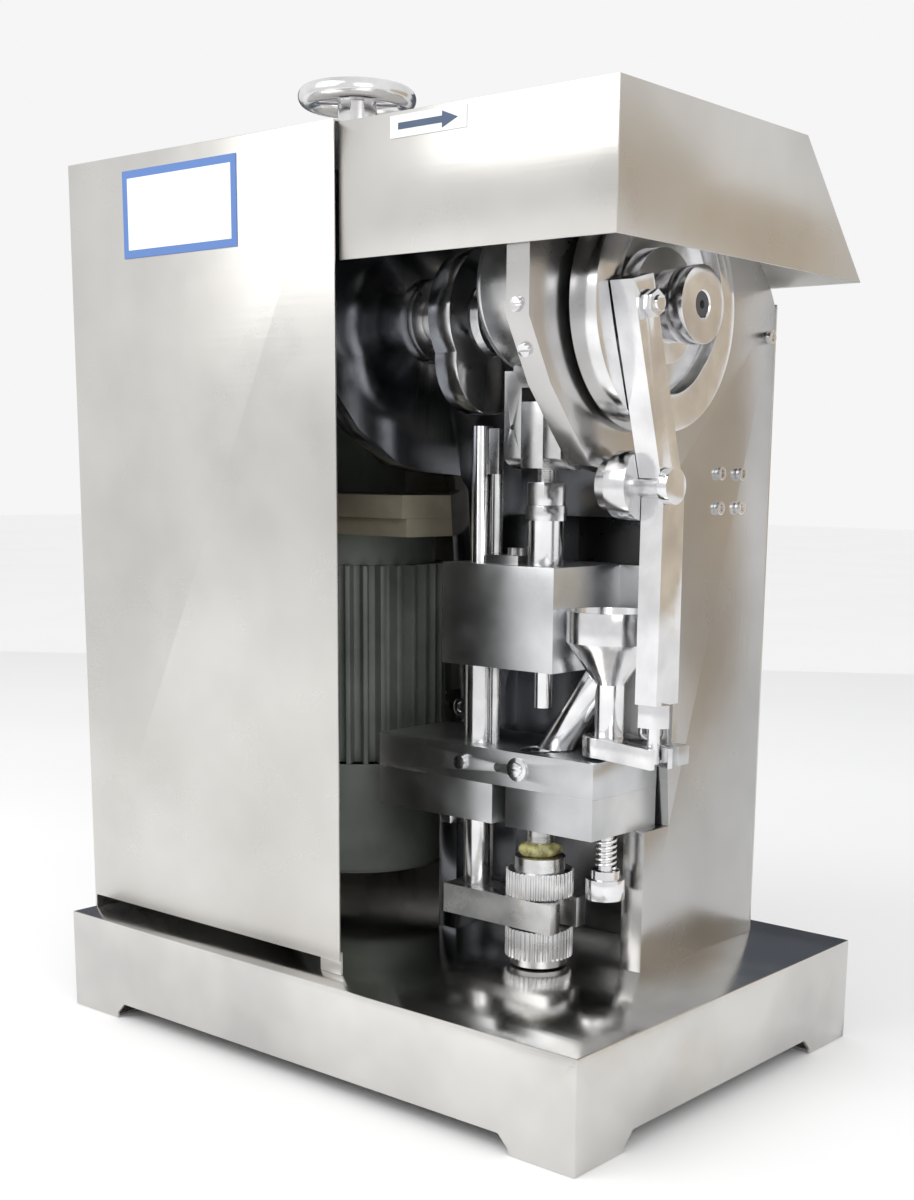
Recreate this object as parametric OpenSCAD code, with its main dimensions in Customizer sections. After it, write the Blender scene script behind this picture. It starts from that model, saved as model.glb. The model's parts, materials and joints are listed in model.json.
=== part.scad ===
// Single-punch tablet press. Millimetres, Z up, X to the right, front towards -Y.
// The origin is the centre of the plinth on the floor.

/* [Plinth] */
// Length of the plinth, left to right
base_length = 600; // [600:10:640]
// Depth of the plinth, front to back
base_depth = 410; // [410:5:440]
// Height of the plinth top
base_top = 92;
// Height of the gap under the skirt
foot_height = 15; // [10:1:18]
// Thickness of the plinth sheet
base_sheet = 3;

/* [Covers] */
// Thickness of the cover sheet
sheet = 2;
// Front face of the motor cover
cover_front = -180;
// Top of the motor cover
cover_top = 765;
// Right edge of the motor cover
cover_right = 33;
// Right face of the hood
hood_right = 295.6;

/* [Main shaft] */
// Shaft centre, front to back
shaft_y = -39.5;
// Shaft centre height
shaft_z = 629.5;
// Shaft radius in the bearings
shaft_r = 20;
// Eccentricity, half of the punch stroke
throw = 18;
// Radius of the eccentric sheave
sheave_r = 34;
// Radius of the feed cam drum
drum_r = 92.4;

/* [Punches] */
// Punch centre, left to right
punch_x = 133;
// Punch radius
punch_r = 7.5; // [5:0.5:7.5]
// Depth of the filled die
fill_depth = 8;

/* [Drive] */
// Motor and handwheel axis, left to right
motor_x = -154;
// Motor and handwheel axis, front to back
motor_y = 35;
// Number of cooling fins
fin_count = 32; // [20:1:40]
// Number of worm wheel teeth
wheel_teeth = 48; // [36:1:48]

/* [Feeder] */
// Feed arm pivot, left to right
feed_x = 198.5;
// Feed arm pivot, front to back
feed_y = -35.3;
// Feed lever pivot, front to back
lever_y = -67;
// Feed lever pivot height
lever_z = 497;

/* [Preview] */
// One part to draw, or all of them

/* [Hidden] */
$fn = 72;
half_length = base_length / 2;
half_depth = base_depth / 2;
running = 0.05;
rod_x = 64;
rod_r = 13;
sleeve_r = 14.7;
carrier_r = 11.5;
die_r = 19;
table_bottom = 214;
table_joint = 248;
table_top = 278;
table_front = -66;
table_back = 24;
left_in = 9;
left_out = -12;
right_in = 195;
right_out = 216;
bush_r = 24;
journal_r = 14.5;
pin_z = 535;
strap_z = shaft_z + throw;
strap_r = 62;
pocket_r = 54.5;
motor_shaft_r = 12;
roller_y = -95;
roller_z = 626;
stud_x = 257.5;
stud_y = -58;
spout_x = 139;
spout_y = -28;
spout_z = 278.8;
spout_rise = 77;
c_plate = [
    [-6, 92], [-6, 214], [30, 214], [6, 490], [-4, 502], [-50, 505], [-81, 511], [-129, 538],
    [-157, 568], [-165, 615], [-165, 735], [88, 735], [160, 661], [170, 645], [170, 92]
];
c_plate_right = [
    [-6, 92], [-6, 214], [30, 214], [6, 490], [-4, 502], [-50, 505], [-92, 511.5], [-117, 539],
    [-143, 569], [-169, 615], [-169, 735], [88, 735], [160, 661], [170, 645], [170, 92]
];
lever_side = [[-71, 331], [-41, 331], [-42, 490], [-91.6, 647.6], [-117, 641], [-70, 490]];

// Box between two corners
module block(x0, x1, y0, y1, z0, z1) {
    translate([x0, y0, z0]) cube([x1 - x0, y1 - y0, z1 - z0]);
}

// Round bar along X
module x_rod(x0, x1, y, z, r) {
    translate([x0, y, z]) rotate([0, 90, 0]) cylinder(h = x1 - x0, r = r);
}

// Round bar along Y
module y_rod(y0, y1, x, z, r) {
    translate([x, y1, z]) rotate([90, 0, 0]) cylinder(h = y1 - y0, r = r);
}

// Round bar along Z
module z_rod(z0, z1, x, y, r) {
    translate([x, y, z0]) cylinder(h = z1 - z0, r = r);
}

// Hexagonal prism along Z, measured across the flats
module z_hex(z0, z1, x, y, flats) {
    translate([x, y, z0]) cylinder(h = z1 - z0, r = flats / sqrt(3), $fn = 6);
}

// Hexagonal prism along X, with flats to the front and back
module x_hex(x0, x1, y, z, flats) {
    translate([x0, y, z]) rotate([0, 90, 0]) cylinder(h = x1 - x0, r = flats / sqrt(3), $fn = 6);
}

// Side outline given as [y, z] points, extruded along X
module side_plate(points, x0, x1) {
    translate([x0, 0, 0]) rotate([90, 0, 90]) linear_extrude(x1 - x0) polygon(points);
}

// Toothed outline with straight flanks
function toothed(count, root, tip, width) = [
    for (i = [0 : count - 1], k = [0 : 3])
        let (share = [0, 0.15, width, width + 0.15][k], r = (k == 1 || k == 2) ? tip : root)
            [r * cos(360 / count * (i + share)), r * sin(360 / count * (i + share))]
];

// Socket screw head along X with its hexagonal recess
module socket_head(x0, x1, y, z, r) {
    difference() {
        x_rod(x0, x1, y, z, r);
        x_hex(x1 - 2.5, x1 + 1, y, z, r);
    }
}

// Slotted screw head facing the front
module slotted_head(face, x, z, r) {
    difference() {
        y_rod(face - 4, face, x, z, r);
        block(x - r - 1, x + r + 1, face - 5, face - 2.4, z - 0.8, z + 0.8);
    }
}

// Gap under the skirt, wider at the floor
module skirt_gap(length, depth) {
    rotate([90, 0, 0]) translate([0, 0, -depth / 2]) linear_extrude(depth)
        polygon([
            [-length / 2, -1], [length / 2, -1], [length / 2, 5],
            [length / 2 - 10, foot_height], [10 - length / 2, foot_height], [-length / 2, 5]
        ]);
}

// Folded sheet plinth with four feet
module base_plinth() {
    foot = 60;
    color("silver") {
        difference() {
            block(-half_length, half_length, -half_depth, half_depth, 0, base_top);
            block(
                base_sheet - half_length, half_length - base_sheet,
                base_sheet - half_depth, half_depth - base_sheet, -1, base_top - base_sheet
            );
            skirt_gap(base_length - 127, base_depth + 2);
            rotate([0, 0, 90]) skirt_gap(base_depth - 127, base_length + 2);
        }
        for (sx = [-1, 1], sy = [-1, 1])
            translate([sx * (half_length - foot / 2 - 1), sy * (half_depth - foot / 2 - 1), 1.5])
                cube([foot, foot, 3], center = true);
    }
}

// C-shaped side plate with the bearing hole
module c_side(outline, x0, x1) {
    difference() {
        side_plate(outline, x0, x1);
        x_rod(x0 - 1, x1 + 1, shaft_y, shaft_z, bush_r + running);
    }
}

module left_plate() {
    color("dimgray") c_side(c_plate, left_out, left_in);
}

module right_plate() {
    color("gray") c_side(c_plate_right, right_in, right_out);
}

// Plate joining the legs behind the table
module rear_tie_plate() {
    color("gray") block(left_in, right_in, 80, 92, base_top, 346);
}

// Bar joining the side plates above the guide block
module upper_tie_bar() {
    color("gray") block(left_in, right_in, 80, 128, 468, 518);
}

// Sheet over the back edges of the side plates
module rear_cover() {
    color("silver") block(left_out, right_out, 170, 172, base_top, 650);
}

// Block that guides the plunger and the lift rod
module guide_block() {
    color("lightgray") difference() {
        union() {
            block(42, 161, -64, 26, 346, 431);
            block(left_in, right_in, 26, 46, 346, 431);
        }
        z_rod(345, 432, punch_x, shaft_y, sleeve_r + running);
        z_rod(345, 416, rod_x, shaft_y, rod_r + running);
        z_rod(345, 432, rod_x, shaft_y, 9.2);
    }
}

// Guide pin and flat bar beside the lift rod, with a clamp plate and two bolts
module guide_pin() {
    color("gray") {
        z_rod(table_top, 346, 82, -40.5, 4.5);
        z_rod(431, 504, 82, -40.5, 4.5);
        block(74, 85, -43, -37, 504, 541);
        difference() {
            block(75, 110, -47, -26, 431, 438);
            z_rod(430, 439, 82, -40.5, 4.5 + running);
        }
        for (x = [94, 104])
            z_hex(438, 444, x, -34, 8);
    }
}

// Upper layer of the die table
module table_upper() {
    color("lightgray") difference() {
        block(-30, 206, table_front, table_back, table_joint, table_top);
        z_rod(table_joint - 1, table_top + 1, rod_x, shaft_y, rod_r + running);
        z_rod(table_joint - 1, table_top + 1, punch_x, shaft_y, 12);
        z_rod(254, table_top + 1, punch_x, shaft_y, die_r + running);
        z_rod(table_joint - 1, table_top + 1, feed_x, feed_y, 6 + running);
        y_rod(table_front - 1, table_front + 10, 106, 263, 3.6);
    }
}

// Lower layer of the die table, two blocks with a gap between them
module table_lower() {
    color("lightgray") difference() {
        union() {
            block(-30, 101, table_front, table_back, table_bottom, table_joint);
            block(115.5, 206, table_front, table_back, table_bottom, table_joint);
        }
        z_rod(table_bottom - 1, table_joint + 1, rod_x, shaft_y, rod_r + running);
        z_rod(table_bottom - 1, table_joint + 1, punch_x, shaft_y, carrier_r + running);
        z_rod(table_bottom - 1, table_joint + 1, feed_x, feed_y, 6 + running);
    }
}

// Hardened die with the tablet bore
module die() {
    color("silver") difference() {
        z_rod(254, table_top - 0.4, punch_x, shaft_y, die_r);
        z_rod(253, table_top, punch_x, shaft_y, punch_r + running);
    }
}

// Slotted screws in the table edge and the nut below the left block
module table_screws() {
    color("silver") {
        slotted_head(table_front, 67, 263, 6);
        difference() {
            y_rod(table_front - 1.5, table_front, 128, 264, 10);
            y_rod(table_front - 2, table_front + 1, 128, 264, 6);
        }
        slotted_head(table_front, 128, 264, 6);
        z_hex(200, table_bottom, 25, -30, 19);
    }
}

// Socket and slotted screws on the side plates
module frame_screws() {
    color("silver") {
        for (y = [87.5, 120.5], z = [478.5, 507])
            socket_head(right_out, right_out + 4, y, z, 5.6);
        socket_head(right_out, right_out + 4, 160, 622, 5.6);
        slotted_head(-169, 206, 622, 5);
        translate([204, -156.6, 593]) rotate([29.5, 0, 0]) slotted_head(0, 0, 0, 5);
        for (x = [-3, 203])
            translate([x, 22, 295]) rotate([0, 0, -90]) socket_head(0, 10, 0, 0, 8.5);
    }
}

// Folded motor cover: front, left side, back and top
module motor_cover() {
    left = -298;
    back = 188;
    color("whitesmoke") {
        block(left + sheet, cover_right, cover_front, cover_front + sheet, 104, cover_top - sheet);
        block(left, left + sheet, cover_front, back, base_top, cover_top - sheet);
        block(left + sheet, cover_right, back - sheet, back, base_top, cover_top - sheet);
        difference() {
            block(left, cover_right, cover_front, back, cover_top - sheet, cover_top);
            z_rod(cover_top - 5, cover_top + 1, motor_x, motor_y, 30);
        }
        block(8, cover_right, cover_front + sheet, cover_front + 2 * sheet, base_top, 112);
    }
}

// Folded hood over the cams
module hood() {
    x0 = cover_right + 1;
    color("whitesmoke") {
        block(x0, hood_right - sheet, -176, -174, 663, 761);
        block(x0, hood_right - sheet, -176, 72, 761, 763);
        side_plate([[-176, 663], [169.4, 663], [72, 763], [-176, 763]], hood_right - sheet, hood_right);
        side_plate([[69.2, 761], [72, 763], [169.4, 663], [166.6, 663]], x0, hood_right - sheet);
        block(199, 212, -120, 60, 735, 761);
    }
}

// Blank plate on the motor cover
module label_plate() {
    color("white") block(-222, -77, cover_front - 0.6, cover_front, 681, 752);
}

// Arrow plate showing the turning direction
module arrow_label() {
    color("white") {
        block(89, 163, -176.6, -176, 744.5, 760);
        translate([0, -176.6, 0]) rotate([90, 0, 0]) linear_extrude(0.3)
            polygon([[97, 750], [140, 750], [140, 746.5], [155, 752.3], [140, 758], [140, 754.6], [97, 754.6]]);
    }
}

// Shelf that carries the gear housing
module gearbox_shelf() {
    color("darkkhaki") difference() {
        block(-246, left_out, -56, 126, 465, 485);
        z_rod(464, 486, motor_x, motor_y, 14);
    }
}

// Plate between the shelf and the motor
module motor_plate() {
    color("darkkhaki") difference() {
        block(-246, left_out, -50, 120, 449, 465);
        z_rod(448, 466, motor_x, motor_y, 14);
    }
}

// Hollow housing around the worm and the worm wheel
module gearbox_housing() {
    color("darkseagreen") difference() {
        union() {
            block(-190, -118, -108, 30, 560, 699);
            block(-190, -118, 8, 62, 485, 722);
        }
        block(-182, -126, -101, 20, 567, 692);
        block(-182, -126, 16, 55, 493, 714);
        x_rod(-191, -117, shaft_y, shaft_z, shaft_r + running);
        z_rod(484, 723, motor_x, motor_y, motor_shaft_r + running);
    }
}

// Motor end bell under the motor plate
module motor_end_bell() {
    color("darkseagreen") difference() {
        z_rod(420, 449, motor_x, motor_y, 73);
        z_rod(419, 436, motor_x, motor_y, 56);
        z_rod(419, 450, motor_x, motor_y, motor_shaft_r + running);
    }
}

// Finned motor body
module motor_body() {
    color("darkseagreen") translate([motor_x, motor_y, 0]) difference() {
        translate([0, 0, 235]) linear_extrude(185) polygon(toothed(fin_count, 71, 84, 0.42));
        translate([0, 0, 241]) cylinder(h = 181, r = 60);
        translate([0, 0, 234]) cylinder(h = 10, r = motor_shaft_r + running);
    }
}

// Fan cover with air slots in its floor
module fan_cover() {
    color("darkseagreen") translate([motor_x, motor_y, 0]) difference() {
        union() {
            translate([0, 0, 132]) cylinder(h = 103, r = 83);
            translate([0, 0, 129]) cylinder(h = 5, r = 80);
        }
        translate([0, 0, 133]) cylinder(h = 103, r = 80.5);
        for (x = [-48 : 12 : 48])
            translate([x - 2.5, -52, 128]) cube([5, 104, 8]);
    }
}

// Terminal box on the rear of the motor
module terminal_box() {
    color("darkseagreen") {
        block(motor_x - 40, motor_x + 40, motor_y + 90, motor_y + 132, 290, 372);
        block(motor_x - 12, motor_x + 12, motor_y + 84.05, motor_y + 90, 310, 350);
    }
}

// Rotor and fan on the motor shaft
module rotor_fan() {
    color("dimgray") translate([motor_x, motor_y, 0]) difference() {
        union() {
            translate([0, 0, 252]) cylinder(h = 156, r = 54);
            translate([0, 0, 176]) cylinder(h = 4, r = 70);
            translate([0, 0, 150]) cylinder(h = 28, r = 20);
            for (i = [0 : 7])
                rotate([0, 0, 45 * i]) translate([18, -2, 150]) cube([50, 4, 27]);
        }
        translate([0, 0, 140]) cylinder(h = 280, r = motor_shaft_r + running / 2);
    }
}

// Vertical shaft with the worm
module worm_shaft() {
    color("gray") {
        z_rod(145, 836, motor_x, motor_y, motor_shaft_r);
        difference() {
            z_rod(590, 669, motor_x, motor_y, 15.4);
            for (i = [0 : 7])
                difference() {
                    z_rod(594 + 9 * i, 598.5 + 9 * i, motor_x, motor_y, 17);
                    z_rod(593 + 9 * i, 600 + 9 * i, motor_x, motor_y, 13);
                }
        }
    }
}

// Handwheel with a round rim, four spokes and a hub
module handwheel() {
    color("silver") translate([motor_x, motor_y, 0]) difference() {
        union() {
            translate([0, 0, 839]) rotate_extrude() translate([45, 0]) circle(r = 9);
            translate([0, 0, 806]) cylinder(h = 38, r = 18);
            for (i = [0 : 3])
                rotate([0, 0, 45 + 90 * i]) translate([10, -6, 834]) cube([32, 12, 8]);
        }
        translate([0, 0, 805]) cylinder(h = 31, r = motor_shaft_r + running / 2);
    }
}

// Worm wheel on the main shaft
module worm_wheel() {
    color("goldenrod") difference() {
        translate([-169, shaft_y, shaft_z]) rotate([90, 0, 90]) linear_extrude(30)
            polygon(toothed(wheel_teeth, 54, 58, 0.42));
        x_rod(-170, -138, shaft_y, shaft_z, shaft_r + running / 2);
    }
}

// Main shaft with a slimmer journal through the strap
module main_shaft() {
    color("gray") {
        x_rod(-222, 103, shaft_y, shaft_z, shaft_r);
        x_rod(103, 166, shaft_y, shaft_z, journal_r);
        x_rod(166, 262, shaft_y, shaft_z, shaft_r);
    }
}

// Flanged bush in a side plate
module bush(x0, x1, flange0, flange1) {
    difference() {
        union() {
            x_rod(x0, x1, shaft_y, shaft_z, bush_r);
            x_rod(flange0, flange1, shaft_y, shaft_z, 33);
        }
        x_rod(left_out - 1, right_out + 10, shaft_y, shaft_z, shaft_r + running);
    }
}

module left_bearing() {
    color("gray") bush(left_out, left_in, left_in, left_in + 5);
}

module right_bearing() {
    color("gray") bush(right_in, right_out, right_out, right_out + 5);
}

// Cam with a lobe over the lift rod
module lift_cam() {
    color("silver") difference() {
        union() {
            x_rod(53, 76, shaft_y, shaft_z, 56);
            x_rod(53, 76, shaft_y - 4, shaft_z - 34, 43.5);
            x_rod(76, 84, shaft_y, shaft_z, 31);
        }
        x_rod(52, 85, shaft_y, shaft_z, shaft_r + running / 2);
    }
}

// Eccentric sheave inside the strap
module eccentric() {
    color("silver") difference() {
        x_rod(117, 152, shaft_y, strap_z, sheave_r);
        x_rod(116, 153, shaft_y, shaft_z, journal_r + running / 2);
    }
}

// Drum with a hollow face and an offset track for the roller
module feed_cam() {
    color("silver") difference() {
        union() {
            difference() {
                x_rod(223, 247, shaft_y, shaft_z, drum_r);
                x_rod(233, 248, shaft_y, shaft_z, 65);
                x_rod(233, 248, shaft_y + 7, shaft_z + 9, 66);
            }
            x_rod(232, 247, shaft_y - 3.9, shaft_z, 42.2);
            x_rod(246, 262, shaft_y, shaft_z, 26.5);
        }
        x_rod(222, 263, shaft_y, shaft_z, shaft_r + running / 2);
    }
}

// Cap on the shaft end with a countersink
module end_cap() {
    color("silver") difference() {
        x_rod(262, 277.4, shaft_y, shaft_z, 28.5);
        translate([270.4, shaft_y, shaft_z]) rotate([0, 90, 0]) cylinder(h = 8, r1 = 4.5, r2 = 11);
        x_rod(261, 278, shaft_y, shaft_z, 4.5);
    }
}

// Countersunk socket screw in the end cap
module end_cap_screw() {
    color("dimgray") difference() {
        union() {
            x_rod(262, 276.4, shaft_y, shaft_z, 4.4);
            translate([270.6, shaft_y, shaft_z]) rotate([0, 90, 0]) cylinder(h = 5.8, r1 = 4.4, r2 = 9);
        }
        x_hex(272, 278, shaft_y, shaft_z, 6);
    }
}

// Connecting rod: strap ring, shank and fork
module conrod() {
    color("silver") difference() {
        union() {
            x_rod(113, 156, shaft_y, strap_z, strap_r);
            block(104, 162, shaft_y - 20, shaft_y + 20, pin_z, 585);
            block(113, 156, shaft_y - 20, shaft_y + 20, 580, 600);
            intersection() {
                x_rod(104, 162, shaft_y, pin_z, 27);
                block(104, 162, shaft_y - 20, shaft_y + 20, 500, 560);
            }
        }
        x_rod(112, 157, shaft_y, strap_z, pocket_r);
        block(121.6, 144.4, shaft_y - 21, shaft_y + 21, 500, 572);
        x_rod(103, 163, shaft_y, pin_z, 8 + running);
        y_rod(shaft_y - 21, shaft_y - 12, 112.5, 541, 2.2);
    }
}

// Side covers that close the strap around the sheave
module strap_covers() {
    color("silver") for (x0 = [109, 156])
        difference() {
            x_rod(x0, x0 + 4, shaft_y, strap_z, strap_r);
            x_rod(x0 - 1, x0 + 5, shaft_y, strap_z, 39.5);
        }
}

// Pin through the fork and the tongue
module wrist_pin() {
    color("gray") x_rod(104, 162, shaft_y, pin_z, 8);
}

// Tongue in the fork with its threaded neck
module adjusting_tongue() {
    color("silver") difference() {
        union() {
            block(122, 144, shaft_y - 20, shaft_y + 20, 509, 561);
            z_rod(479.5, 509, punch_x, shaft_y, 7.4);
        }
        x_rod(121, 147, shaft_y, pin_z, 8 + running / 2);
    }
}

// Lock nut on the threaded neck
module lock_nut() {
    color("silver") difference() {
        z_hex(479.5, 498, punch_x, shaft_y, 29);
        z_rod(479, 499, punch_x, shaft_y, 7.4 + running / 2);
    }
}

// Plunger sleeve with its hexagon
module plunger() {
    color("silver") difference() {
        union() {
            z_hex(467.5, 479.5, punch_x, shaft_y, 31);
            z_rod(348, 467.5, punch_x, shaft_y, sleeve_r);
        }
        z_rod(347, 380, punch_x, shaft_y, punch_r + running / 2);
    }
}

// Upper punch in the plunger
module upper_punch() {
    color("silver") {
        z_rod(314, 380, punch_x, shaft_y, punch_r);
    }
}

// Stepped lift rod
module lift_rod() {
    color("silver") {
        z_rod(127, 405, rod_x, shaft_y, rod_r);
        z_rod(405, 543, rod_x, shaft_y, 8.75);
    }
}

// Fork plate that carries the lower punch
module lift_fork() {
    color("silver") difference() {
        block(45, 164, -64, -15, 127, 153);
        z_rod(126, 154, rod_x, shaft_y, rod_r + running / 2);
        z_rod(126, 154, punch_x, shaft_y, carrier_r + running / 2);
        block(punch_x, 165, shaft_y - carrier_r, shaft_y + carrier_r, 126, 154);
    }
}

// Threaded carrier of the lower punch
module punch_carrier() {
    color("silver") z_rod(96, 236, punch_x, shaft_y, carrier_r);
}

// Lower punch in the die
module lower_punch() {
    color("silver") z_rod(236, table_top - 0.4 - fill_depth, punch_x, shaft_y, punch_r);
}

// Toothed adjusting nut: tooth band, then a plain hub on one side
module gear_nut(teeth0, teeth1, hub0, hub1, hub_r) {
    translate([punch_x, shaft_y, 0]) difference() {
        union() {
            translate([0, 0, teeth0]) linear_extrude(teeth1 - teeth0) polygon(toothed(40, 27, 29, 0.42));
            translate([0, 0, hub0]) cylinder(h = hub1 - hub0, r = hub_r);
        }
        translate([0, 0, 90]) cylinder(h = 110, r = carrier_r + running);
        translate([0, 0, (hub0 + hub1) / 2]) rotate([90, 0, -35]) cylinder(h = 40, r = 1.6);
    }
}

module upper_gear_nut() {
    color("darkkhaki") gear_nut(154, 176, 175, 187.5, 21.6);
}

module lower_gear_nut() {
    color("darkkhaki") gear_nut(101, 126, 94, 102, 24.5);
}

// Lever that follows the feed cam
module feed_lever() {
    color("silver") difference() {
        side_plate(lever_side, 248, 268);
        x_rod(247, 269, lever_y, lever_z, 9 + running);
        x_rod(247, 269, roller_y, roller_z, 5 + running / 2);
        z_rod(330, 352, stud_x, stud_y, 5 + running / 2);
    }
}

// Roller in the drum's track
module cam_roller() {
    color("gray") difference() {
        x_rod(234, 246, roller_y, roller_z, 8);
        x_rod(233, 247, roller_y, roller_z, 5 + running);
    }
}

// Bolt that holds the roller in the lever
module roller_bolt() {
    color("silver") {
        x_rod(234, 268, roller_y, roller_z, 5);
        x_hex(268, 275, roller_y, roller_z, 17);
        x_rod(275, 278, roller_y, roller_z, 5.5);
    }
}

// Stud and lock nut at the foot of the lever
module lever_stud() {
    color("silver") {
        z_rod(284, 350, stud_x, stud_y, 5);
        difference() {
            z_hex(313, 331, stud_x, stud_y, 24);
            z_rod(312, 332, stud_x, stud_y, 5 + running / 2);
        }
    }
}

// Stepped boss and pin on which the lever turns
module pivot_post() {
    color("silver") {
        x_rod(right_out, 228, lever_y, lever_z, 20);
        x_rod(228, 247.5, lever_y, lever_z, 26);
        x_rod(247, 268.5, lever_y, lever_z, 9);
        x_rod(268.5, 277, lever_y, lever_z, 13.5);
    }
}

// Arm that swings the hopper, with a slot for the stud
module feed_arm() {
    turn = atan2(stud_y - feed_y, stud_x - feed_x);
    color("silver") translate([feed_x, feed_y, 281]) linear_extrude(16) difference() {
        union() {
            circle(r = 21.5);
            rotate(turn) polygon([[0, -20], [75, -10.5], [75, 10.5], [0, 20]]);
        }
        circle(r = 6 + running);
        rotate(turn) translate([56, -6.2]) square([40, 12.4]);
    }
}

// Leaning cylinder from below the die face up into the cone
module spout_bar(r) {
    dx = spout_x - feed_x;
    dy = spout_y - feed_y;
    lean = atan2(sqrt(dx * dx + dy * dy), spout_rise);
    translate([dx, dy, spout_z]) rotate([0, 0, atan2(dy, dx)]) rotate([0, -lean, 0])
        translate([0, 0, -30]) cylinder(h = 112, r = r);
}

// Hopper cup, cone, neck and leaning spout
module hopper() {
    cup_r = 36.5;
    color("silver") translate([feed_x, feed_y, 0]) difference() {
        union() {
            translate([0, 0, 297]) cylinder(h = 43, r = 12);
            translate([0, 0, 339]) cylinder(h = 34, r1 = 12, r2 = cup_r);
            translate([0, 0, 373]) cylinder(h = 25, r = cup_r);
            intersection() {
                spout_bar(13.7);
                translate([-90, -60, spout_z]) cube([110, 120, 72]);
            }
        }
        translate([0, 0, 349]) cylinder(h = 24.1, r1 = 14, r2 = cup_r - 2);
        translate([0, 0, 373]) cylinder(h = 26, r = cup_r - 2);
        intersection() {
            spout_bar(11.7);
            translate([-90, -60, 270]) cube([110, 120, 85]);
        }
    }
}

// Bolt through the arm and the table, with a stepped knob
module feed_bolt() {
    color("silver") {
        z_rod(163, 295, feed_x, feed_y, 6);
        z_rod(161, 178, feed_x, feed_y, 16.4);
        z_rod(178, 185, feed_x, feed_y, 12);
    }
}

// Spring rings between the knob and the table
module feed_spring() {
    color("gray") for (i = [0 : 7])
        translate([feed_x, feed_y, 187 + 3.6 * i]) rotate_extrude() translate([8, 0]) circle(r = 1.3);
}

// Stop block on the right plate
module stop_block() {
    color("silver") {
        block(right_out, 232, 17, 33, 269, 285);
        block(right_out, 219, 26, 33, 285, 330);
    }
}

base_plinth();
left_plate();
right_plate();
rear_tie_plate();
upper_tie_bar();
rear_cover();
guide_block();
guide_pin();
table_upper();
table_lower();
die();
table_screws();
frame_screws();
motor_cover();
hood();
label_plate();
arrow_label();
gearbox_shelf();
motor_plate();
gearbox_housing();
motor_end_bell();
motor_body();
fan_cover();
terminal_box();
rotor_fan();
worm_shaft();
handwheel();
worm_wheel();
main_shaft();
left_bearing();
right_bearing();
lift_cam();
eccentric();
feed_cam();
end_cap();
end_cap_screw();
conrod();
strap_covers();
wrist_pin();
adjusting_tongue();
lock_nut();
plunger();
upper_punch();
lift_rod();
lift_fork();
punch_carrier();
lower_punch();
upper_gear_nut();
lower_gear_nut();
feed_lever();
cam_roller();
roller_bolt();
lever_stud();
pivot_post();
feed_arm();
hopper();
feed_bolt();
feed_spring();
stop_block();
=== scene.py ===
"""Looks for the single-punch tablet press: materials, fine pieces, floor, lights and camera."""

import json
import math

import bpy
from mathutils import Matrix, Vector

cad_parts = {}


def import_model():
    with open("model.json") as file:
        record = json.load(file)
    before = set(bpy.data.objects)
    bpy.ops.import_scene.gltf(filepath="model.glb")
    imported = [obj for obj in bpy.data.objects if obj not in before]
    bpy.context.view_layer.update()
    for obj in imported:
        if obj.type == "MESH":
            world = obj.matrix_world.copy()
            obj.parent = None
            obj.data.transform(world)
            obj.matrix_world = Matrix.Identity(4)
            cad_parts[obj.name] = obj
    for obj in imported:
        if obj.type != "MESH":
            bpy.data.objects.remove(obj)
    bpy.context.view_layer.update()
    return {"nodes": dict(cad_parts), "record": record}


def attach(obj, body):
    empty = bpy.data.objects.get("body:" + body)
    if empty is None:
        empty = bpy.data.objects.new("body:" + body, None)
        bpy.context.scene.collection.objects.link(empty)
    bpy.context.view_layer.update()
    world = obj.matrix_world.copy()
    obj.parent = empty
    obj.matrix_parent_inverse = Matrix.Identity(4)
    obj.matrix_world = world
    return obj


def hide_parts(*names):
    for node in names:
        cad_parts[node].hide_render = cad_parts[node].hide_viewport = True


# Camera: place and direction in metres, and the lens for a 36 mm sensor
CAMERA_PLACE = (0.9603, -1.0919, 0.5054)
CAMERA_FORWARD = (-0.6220, 0.7579, -0.1965)
CAMERA_ROLL = math.radians(0.770)
CAMERA_LENS = 63.76
CAMERA_SHIFT = (-0.0557, 0.2156)

# Edge rounding of the machined and folded pieces, in metres
FINE_EDGE = 0.0004
SOFT_EDGE = 0.0009
EDGE_ANGLE = math.radians(32)

# How slowly the oil stain and the painted reflection patches fade into clean metal, in steps of their noise
STAIN_AND_REFLECTION_FADE = 0.3

# Places that the fine pieces share with the frame, in metres
PUNCH = (0.133, -0.0395)
FEED = (0.1985, -0.0353)

# Nodes that keep sharp, unrounded meshes
UNROUNDED = {"label_plate", "arrow_label", "feed_spring", "end_cap_screw"}
SOFT_NODES = {"base_plinth", "motor_cover", "hood", "fan_cover", "motor_body", "gearbox_housing"}

# Nodes that run in oil and look stained
OILY = {
    "lift_fork", "upper_gear_nut", "lower_gear_nut", "punch_carrier", "conrod", "left_bearing",
    "main_shaft", "adjusting_tongue", "guide_pin",
}

# How the brush streaks of the metals are stretched
LONG_BRUSH = (0.05, 1, 1)
CROSS_BRUSH = (0.1, 1, 1)
UPRIGHT_BRUSH = (1, 1, 0.1)
NO_BRUSH = (1, 1, 1)
PRINT_RELIEF = 0.05

# Face of the arrow plate in front of which only the raised arrow lies, in metres
ARROW_FACE = -0.17665

# Half width of the floor, in metres
FLOOR_HALF = 14.0


def new_material(name):
    """An empty node material and its shader."""
    mat = bpy.data.materials.new(name)
    mat.use_nodes = True
    shader = mat.node_tree.nodes["Principled BSDF"]
    return mat, shader


def math_node(tree, operation, source, value=None):
    """A math node on one source and, where it needs one, a fixed value."""
    node = tree.nodes.new("ShaderNodeMath")
    node.operation = operation
    tree.links.new(source, node.inputs[0])
    if value is not None:
        node.inputs[1].default_value = value
    return node


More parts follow.
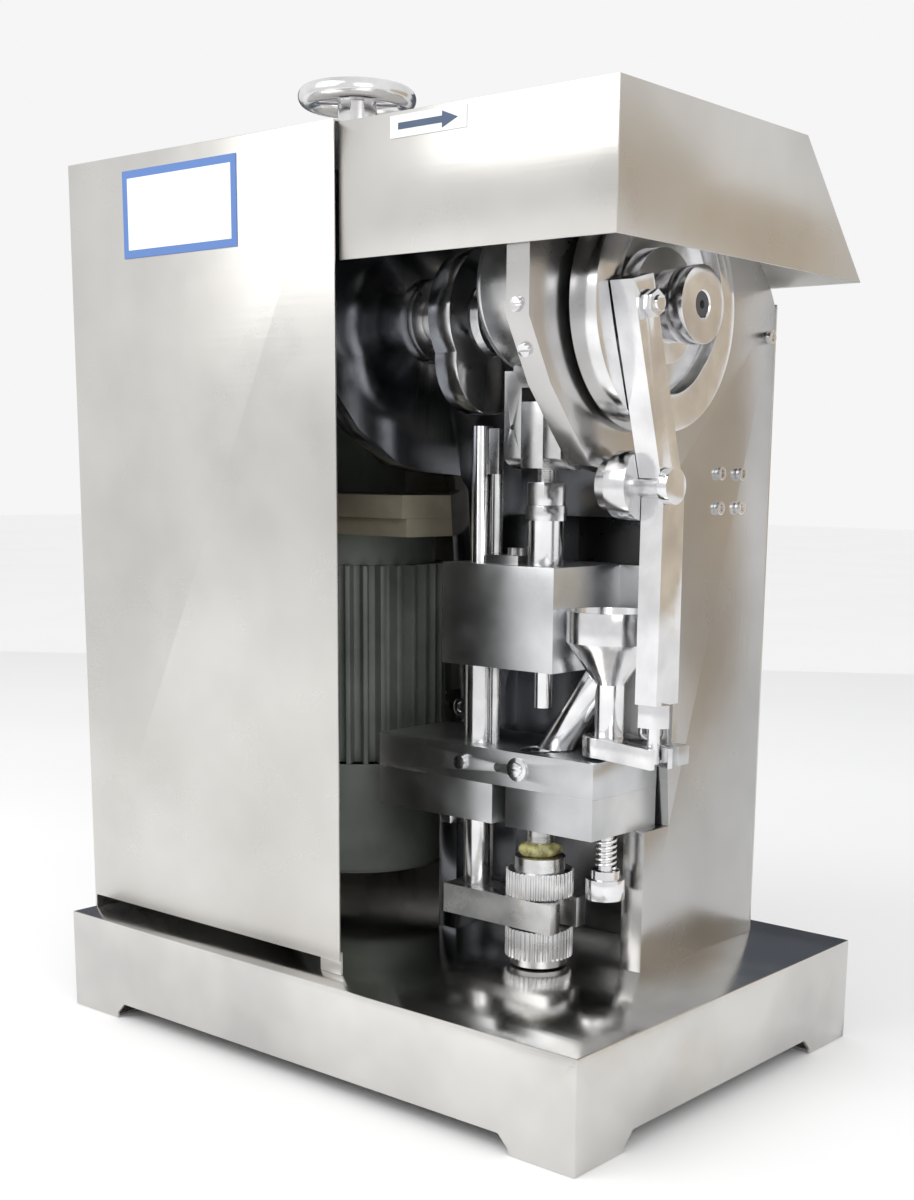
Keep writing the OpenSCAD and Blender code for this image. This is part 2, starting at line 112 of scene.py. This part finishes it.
def noise(tree, scale, stretch=(1, 1, 1), detail=4.0):
    """Noise over the object's own coordinates, stretched along an axis."""
    place = tree.nodes.new("ShaderNodeTexCoord")
    mapping = tree.nodes.new("ShaderNodeMapping")
    mapping.inputs["Scale"].default_value = stretch
    texture = tree.nodes.new("ShaderNodeTexNoise")
    texture.inputs["Scale"].default_value = scale
    texture.inputs["Detail"].default_value = detail
    tree.links.new(place.outputs["Object"], mapping.inputs["Vector"])
    tree.links.new(mapping.outputs["Vector"], texture.inputs["Vector"])
    return texture.outputs["Fac"]


def ramp(tree, source, stops):
    """A colour ramp with stops of position and colour."""
    node = tree.nodes.new("ShaderNodeValToRGB")
    elements = node.color_ramp.elements
    for index, (place, colour) in enumerate(stops):
        stop = elements[index] if index < 2 else elements.new(place)
        stop.position = place
        stop.color = (*colour, 1)
    tree.links.new(source, node.inputs["Fac"])
    return node.outputs["Color"]


def spread(tree, source, low, high):
    """Maps the middle of a noise to a value range."""
    node = tree.nodes.new("ShaderNodeMapRange")
    node.inputs["From Min"].default_value = 0.3
    node.inputs["From Max"].default_value = 0.7
    node.inputs["To Min"].default_value = low
    node.inputs["To Max"].default_value = high
    tree.links.new(source, node.inputs["Value"])
    return node.outputs["Result"]


def blend_colour(tree, amount, first, second):
    """Mixes two colours by a mask."""
    node = tree.nodes.new("ShaderNodeMix")
    node.data_type = "RGBA"
    tree.links.new(amount, node.inputs["Factor"])
    tree.links.new(first, node.inputs["A"])
    node.inputs["B"].default_value = (*second, 1)
    return node.outputs["Result"]


def bump(tree, shader, source, strength, distance=0.0003):
    """Surface relief from a noise."""
    node = tree.nodes.new("ShaderNodeBump")
    node.inputs["Strength"].default_value = strength
    node.inputs["Distance"].default_value = distance
    tree.links.new(source, node.inputs["Height"])
    tree.links.new(node.outputs["Normal"], shader.inputs["Normal"])


def metal(name, dark, light, rough, patches, brush, stain_and_reflection=None, relief=0.15):
    """Bare metal with patches of tone, brushed streaks and an optional blended patch colour, used for oil
    stains and for painted reflections of the warm surroundings.
    """
    mat, shader = new_material(name)
    tree = mat.node_tree
    shader.inputs["Metallic"].default_value = 1
    tone = ramp(tree, noise(tree, patches), [(0.35, dark), (0.65, light)])
    # Blended patches: an oil stain on the oily parts, a painted warm reflection on the plinth and side
    # plates
    if stain_and_reflection:
        colour, start, size = stain_and_reflection
        mask = ramp(tree, noise(tree, size, detail=7), [(start, (0, 0, 0)), (start + STAIN_AND_REFLECTION_FADE, (1, 1, 1))])
        tone = blend_colour(tree, mask, tone, colour)
    tree.links.new(tone, shader.inputs["Base Color"])
    streaks = noise(tree, 260, brush, 3)
    tree.links.new(spread(tree, noise(tree, patches * 2.3, detail=6), *rough), shader.inputs["Roughness"])
    bump(tree, shader, streaks, relief)
    return mat


def paint(name, dark, light, rough, relief=0.25, scale=900):
    """Paint with a slight orange-peel surface and dust."""
    mat, shader = new_material(name)
    tree = mat.node_tree
    tree.links.new(ramp(tree, noise(tree, 14), [(0.35, dark), (0.65, light)]), shader.inputs["Base Color"])
    tree.links.new(spread(tree, noise(tree, 25), *rough), shader.inputs["Roughness"])
    bump(tree, shader, noise(tree, scale), relief)
    return mat


def grease_material():
    """Yellow-green grease."""
    mat, shader = new_material("grease")
    tree = mat.node_tree
    colours = [(0.35, (0.20, 0.17, 0.05)), (0.65, (0.52, 0.50, 0.22))]
    tree.links.new(ramp(tree, noise(tree, 160, detail=6), colours), shader.inputs["Base Color"])
    shader.inputs["Roughness"].default_value = 0.22
    shader.inputs["Coat Weight"].default_value = 0.4
    shader.inputs["Subsurface Weight"].default_value = 0.15
    bump(tree, shader, noise(tree, 420, detail=5), 0.9, 0.001)
    return mat


def label_material():
    """White plate with a blue border set in from its edge."""
    mat, shader = new_material("label_print")
    tree = mat.node_tree
    place = tree.nodes.new("ShaderNodeTexCoord")
    parts = tree.nodes.new("ShaderNodeSeparateXYZ")
    tree.links.new(place.outputs["Generated"], parts.inputs["Vector"])
    edge = None
    for axis, width in (("X", 0.455), ("Z", 0.41)):
        centred = math_node(tree, "SUBTRACT", parts.outputs[axis], 0.5)
        size = math_node(tree, "ABSOLUTE", centred.outputs[0])
        over = math_node(tree, "GREATER_THAN", size.outputs[0], width)
        if edge is None:
            edge = over.outputs[0]
            continue
        joined = math_node(tree, "MAXIMUM", edge)
        tree.links.new(over.outputs[0], joined.inputs[1])
        edge = joined.outputs[0]
    white = ramp(tree, noise(tree, 30), [(0.3, (0.80, 0.81, 0.83)), (0.7, (0.86, 0.87, 0.88))])
    tree.links.new(blend_colour(tree, edge, white, (0.10, 0.20, 0.48)), shader.inputs["Base Color"])
    shader.inputs["Roughness"].default_value = 0.4
    return mat


def make_materials():
    """All the record's material slots, and the extra looks."""
    # Warm beige patches on the plinth steel: a painted reflection of the warm brown surroundings
    plinth_painted_reflection = ((0.50, 0.45, 0.37), 0.66, 5)
    # Brown patches on the side plate steel: a painted reflection of the warm brown surroundings
    side_plate_painted_reflection = ((0.44, 0.38, 0.29), 0.60, 3)
    old_oil = ((0.34, 0.26, 0.14), 0.62, 26)
    return {
        "cover_steel": metal(
            "cover_steel", (0.56, 0.545, 0.52), (0.67, 0.655, 0.63), (0.24, 0.36), 5, LONG_BRUSH
        ),
        "plinth_steel": metal(
            "plinth_steel", (0.50, 0.49, 0.48), (0.68, 0.67, 0.65), (0.10, 0.22), 6, LONG_BRUSH, plinth_painted_reflection
        ),
        "dark_plate": metal(
            "dark_plate", (0.16, 0.17, 0.19), (0.34, 0.35, 0.38), (0.12, 0.24), 6, UPRIGHT_BRUSH
        ),
        "side_plate": metal(
            "side_plate", (0.40, 0.40, 0.40), (0.58, 0.57, 0.56), (0.18, 0.30), 4, UPRIGHT_BRUSH, side_plate_painted_reflection
        ),
        "machined_steel": metal(
            "machined_steel", (0.48, 0.49, 0.50), (0.66, 0.67, 0.68), (0.26, 0.38), 12, CROSS_BRUSH
        ),
        "bright_steel": metal(
            "bright_steel", (0.66, 0.66, 0.67), (0.84, 0.84, 0.85), (0.10, 0.24), 26, UPRIGHT_BRUSH
        ),
        "motor_paint": paint("motor_paint", (0.13, 0.145, 0.13), (0.22, 0.24, 0.215), (0.40, 0.60)),
        "khaki_plate": paint("khaki_plate", (0.16, 0.14, 0.10), (0.27, 0.24, 0.18), (0.45, 0.65)),
        "dark_iron": paint("dark_iron", (0.03, 0.03, 0.033), (0.07, 0.07, 0.07), (0.45, 0.7)),
        "wheel_bronze": metal(
            "wheel_bronze", (0.45, 0.32, 0.12), (0.66, 0.48, 0.22), (0.25, 0.4), 20, NO_BRUSH
        ),
        "white_plastic": paint(
            "white_plastic", (0.78, 0.79, 0.80), (0.85, 0.86, 0.87), (0.35, 0.5), PRINT_RELIEF
        ),
        "oily_steel": metal(
            "oily_steel", (0.48, 0.48, 0.48), (0.74, 0.74, 0.74), (0.22, 0.38), 20, CROSS_BRUSH, old_oil
        ),
        "arrow_print": paint(
            "arrow_print", (0.05, 0.08, 0.14), (0.07, 0.11, 0.18), (0.4, 0.5), PRINT_RELIEF
        ),
        "label_print": label_material(),
        "grease": grease_material(),
    }


def dress(node, thing, mats, slots):
    """Gives a CAD node its material, smooth curves and rounded edges."""
    slot_name = slots[node]
    if node in OILY:
        slot_name = "oily_steel"
    if node == "label_plate":
        slot_name = "label_print"
    thing.data.materials.clear()
    thing.data.materials.append(mats[slot_name])
    for face in thing.data.polygons:
        face.use_smooth = True
    weld = thing.modifiers.new("join", "WELD")
    weld.merge_threshold = 0.00001
    if node not in UNROUNDED:
        edge = thing.modifiers.new("round", "BEVEL")
        edge.width = SOFT_EDGE if node in SOFT_NODES else FINE_EDGE
        edge.segments = 2
        edge.limit_method = "ANGLE"
        edge.angle_limit = EDGE_ANGLE
        edge.harden_normals = False
        edge.miter_outer = "MITER_ARC"
    split = thing.modifiers.new("crease", "EDGE_SPLIT")
    split.split_angle = EDGE_ANGLE


def make_piece(name, points, faces, mat, body, smooth=True):
    """A mesh object that rides on a body."""
    mesh = bpy.data.meshes.new(name)
    mesh.from_pydata(points, [], faces)
    mesh.materials.append(mat)
    for face in mesh.polygons:
        face.use_smooth = smooth
    thing = bpy.data.objects.new(name, mesh)
    bpy.context.collection.objects.link(thing)
    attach(thing, body)
    return thing


def tube_mesh(path, radius, sides):
    """Points and faces of a closed tube along a path."""
    points, faces = [], []
    for index, here in enumerate(path):
        before = path[max(index - 1, 0)]
        after = path[min(index + 1, len(path) - 1)]
        along = (after - before).normalized()
        side = along.cross(Vector((0, 0, 1)))
        side = side.normalized() if side.length > 1e-6 else Vector((1, 0, 0))
        up = side.cross(along)
        for k in range(sides):
            turn = 2 * math.pi * k / sides
            points.append(here + radius * (math.cos(turn) * side + math.sin(turn) * up))
    for ring in range(len(path) - 1):
        for k in range(sides):
            a, b = ring * sides + k, ring * sides + (k + 1) % sides
            faces.append((a, b, b + sides, a + sides))
    last = (len(path) - 1) * sides
    faces.append(tuple(reversed(range(sides))))
    faces.append(tuple(range(last, last + sides)))
    return points, faces


def helix(centre, radius, low, high, turns, steps=20):
    """Points of a vertical helix."""
    count = int(turns * steps)
    path = []
    for i in range(count + 1):
        turn = 2 * math.pi * i / steps
        height = low + (high - low) * i / count
        across = centre[0] + radius * math.cos(turn)
        deep = centre[1] + radius * math.sin(turn)
        path.append(Vector((across, deep, height)))
    return path


def make_spring(mats):
    """Coil spring between the knob and the table."""
    points, faces = tube_mesh(helix(FEED, 0.008, 0.1868, 0.2122, 5.5), 0.0013, 10)
    spring = make_piece("feed_coil", points, faces, mats["bright_steel"], "frame", True)
    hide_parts("feed_spring")


def make_thread(name, radius, low, high, pitch, mat, body):
    """Fine thread ridge wound round a bar."""
    turns = (high - low) / pitch
    points, faces = tube_mesh(helix(PUNCH, radius, low, high, turns), pitch * 0.32, 6)
    make_piece(name, points, faces, mat, body, True)


def make_grease(name, centre, radius, low, high, body, mats, seed):
    """Uneven collar of grease round a bar."""
    columns, rows = 48, 8
    points, faces = [], []
    for row in range(rows + 1):
        share = row / rows
        swell = math.sin(math.pi * share) ** 0.6
        for column in range(columns):
            turn = 2 * math.pi * column / columns
            wave = 0.5 + 0.3 * math.sin(3 * turn + seed) + 0.2 * math.sin(7 * turn + 2.3 * seed + 4 * share)
            reach = radius[0] + (radius[1] - radius[0]) * swell * wave
            lift = 0.0012 * math.sin(5 * turn + seed) * swell
            across = centre[0] + reach * math.cos(turn)
            deep = centre[1] + reach * math.sin(turn)
            points.append((across, deep, low + (high - low) * share + lift))
    for row in range(rows):
        for column in range(columns):
            a = row * columns + column
            b = row * columns + (column + 1) % columns
            faces.append((a, b, b + columns, a + columns))
    faces.append(tuple(reversed(range(columns))))
    faces.append(tuple(range(rows * columns, (rows + 1) * columns)))
    make_piece(name, points, faces, mats["grease"], body, True)


def colour_arrow(thing, mats):
    """Prints the raised arrow dark."""
    thing.data.materials.append(mats["arrow_print"])
    for face in thing.data.polygons:
        if face.center.y < ARROW_FACE:
            face.material_index = 1


def make_floor():
    """Plain pale floor, wide enough to reach the horizon."""
    corners = [(x * FLOOR_HALF, y * FLOOR_HALF, 0) for x, y in ((-1, -1), (1, -1), (1, 1), (-1, 1))]
    mesh = bpy.data.meshes.new("floor")
    mesh.from_pydata(corners, [], [(0, 1, 2, 3)])
    mat, shader = new_material("floor_white")
    tree = mat.node_tree
    tones = [(0.3, (0.93, 0.93, 0.93)), (0.7, (0.95, 0.95, 0.95))]
    tree.links.new(ramp(tree, noise(tree, 2), tones), shader.inputs["Base Color"])
    shader.inputs["Roughness"].default_value = 0.6
    mesh.materials.append(mat)
    floor = bpy.data.objects.new("floor", mesh)
    bpy.context.collection.objects.link(floor)


def make_card(name, centre, normal, width, height, colour, strength):
    """Studio card seen only in reflections."""
    facing = Vector(normal).normalized()
    across = facing.cross(Vector((0, 0, 1)))
    across = across.normalized() if across.length > 1e-6 else Vector((1, 0, 0))
    up = across.cross(facing)
    middle = Vector(centre)
    corners = []
    for sx, sz in ((-1, -1), (1, -1), (1, 1), (-1, 1)):
        corners.append(middle + across * sx * width / 2 + up * sz * height / 2)
    mesh = bpy.data.meshes.new(name)
    mesh.from_pydata(corners, [], [(0, 1, 2, 3)])
    mat = bpy.data.materials.new(name)
    mat.use_nodes = True
    tree = mat.node_tree
    tree.nodes.clear()
    glow = tree.nodes.new("ShaderNodeEmission")
    out = tree.nodes.new("ShaderNodeOutputMaterial")
    glow.inputs["Color"].default_value = (*colour, 1)
    glow.inputs["Strength"].default_value = strength
    tree.links.new(glow.outputs["Emission"], out.inputs["Surface"])
    mesh.materials.append(mat)
    card = bpy.data.objects.new(name, mesh)
    card.visible_camera = False
    card.visible_diffuse = False
    card.visible_shadow = False
    bpy.context.collection.objects.link(card)


def make_light(name, place, target, size, power, colour=(1, 1, 1)):
    """Soft square light aimed at a point."""
    data = bpy.data.lights.new(name, "AREA")
    data.shape = "SQUARE"
    data.size = size
    data.energy = power
    data.color = colour
    lamp = bpy.data.objects.new(name, data)
    lamp.location = place
    aim = Vector(target) - Vector(place)
    lamp.rotation_mode = "QUATERNION"
    lamp.rotation_quaternion = aim.to_track_quat("-Z", "Y")
    bpy.context.collection.objects.link(lamp)


def make_world():
    """Even pale surroundings, shown without tone compression so that the floor stays white."""
    world = bpy.data.worlds.new("studio")
    world.use_nodes = True
    back = world.node_tree.nodes["Background"]
    back.inputs["Color"].default_value = (1.0, 1.0, 1.0, 1)
    back.inputs["Strength"].default_value = 0.92
    bpy.context.scene.world = world
    bpy.context.scene.view_settings.view_transform = "Standard"


def make_camera():
    """Camera at the viewing angle of the original shot."""
    forward = Vector(CAMERA_FORWARD).normalized()
    level = forward.cross(Vector((0, 0, 1))).normalized()
    upright = level.cross(forward)
    right = math.cos(CAMERA_ROLL) * level + math.sin(CAMERA_ROLL) * upright
    up = right.cross(forward)
    data = bpy.data.cameras.new("camera")
    data.sensor_fit = "HORIZONTAL"
    data.sensor_width = 36
    data.lens = CAMERA_LENS
    data.shift_x, data.shift_y = CAMERA_SHIFT
    data.clip_end = 100
    camera = bpy.data.objects.new("camera", data)
    turn = Matrix((right, up, -forward)).transposed().to_4x4()
    camera.matrix_world = Matrix.Translation(CAMERA_PLACE) @ turn
    bpy.context.collection.objects.link(camera)
    bpy.context.scene.camera = camera


def main():
    """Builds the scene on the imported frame."""
    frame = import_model()
    slots = {row["node"]: row["material_slot"] for row in frame["record"]["subparts"]}
    mats = make_materials()
    for node, thing in frame["nodes"].items():
        dress(node, thing, mats, slots)
    colour_arrow(frame["nodes"]["arrow_label"], mats)
    make_spring(mats)
    make_thread("neck_thread", 0.0074, 0.4985, 0.5085, 0.0016, mats["oily_steel"], "plunger")
    make_thread("carrier_thread", 0.0115, 0.1885, 0.2050, 0.0018, mats["oily_steel"], "lift")
    make_grease("upper_grease", PUNCH, (0.0116, 0.0205), 0.1872, 0.2000, "upper_nut", mats, 1.0)
    make_floor()
    make_card("right_card", (2.6, 2.6, 0.3), (-0.62, -0.76, 0.0), 3.4, 2.4, (0.62, 0.53, 0.42), 1.0)
    make_card("back_card", (-1.6, 2.4, 0.9), (0.55, -0.83, 0.0), 4.2, 1.8, (0.10, 0.11, 0.13), 1.0)
    make_light("key", (-0.9, -2.2, 2.4), (0, 0, 0.4), 2.2, 38)
    make_light("fill", (2.3, -1.6, 1.8), (0.1, 0, 0.4), 1.6, 18)
    make_world()
    make_camera()


main()
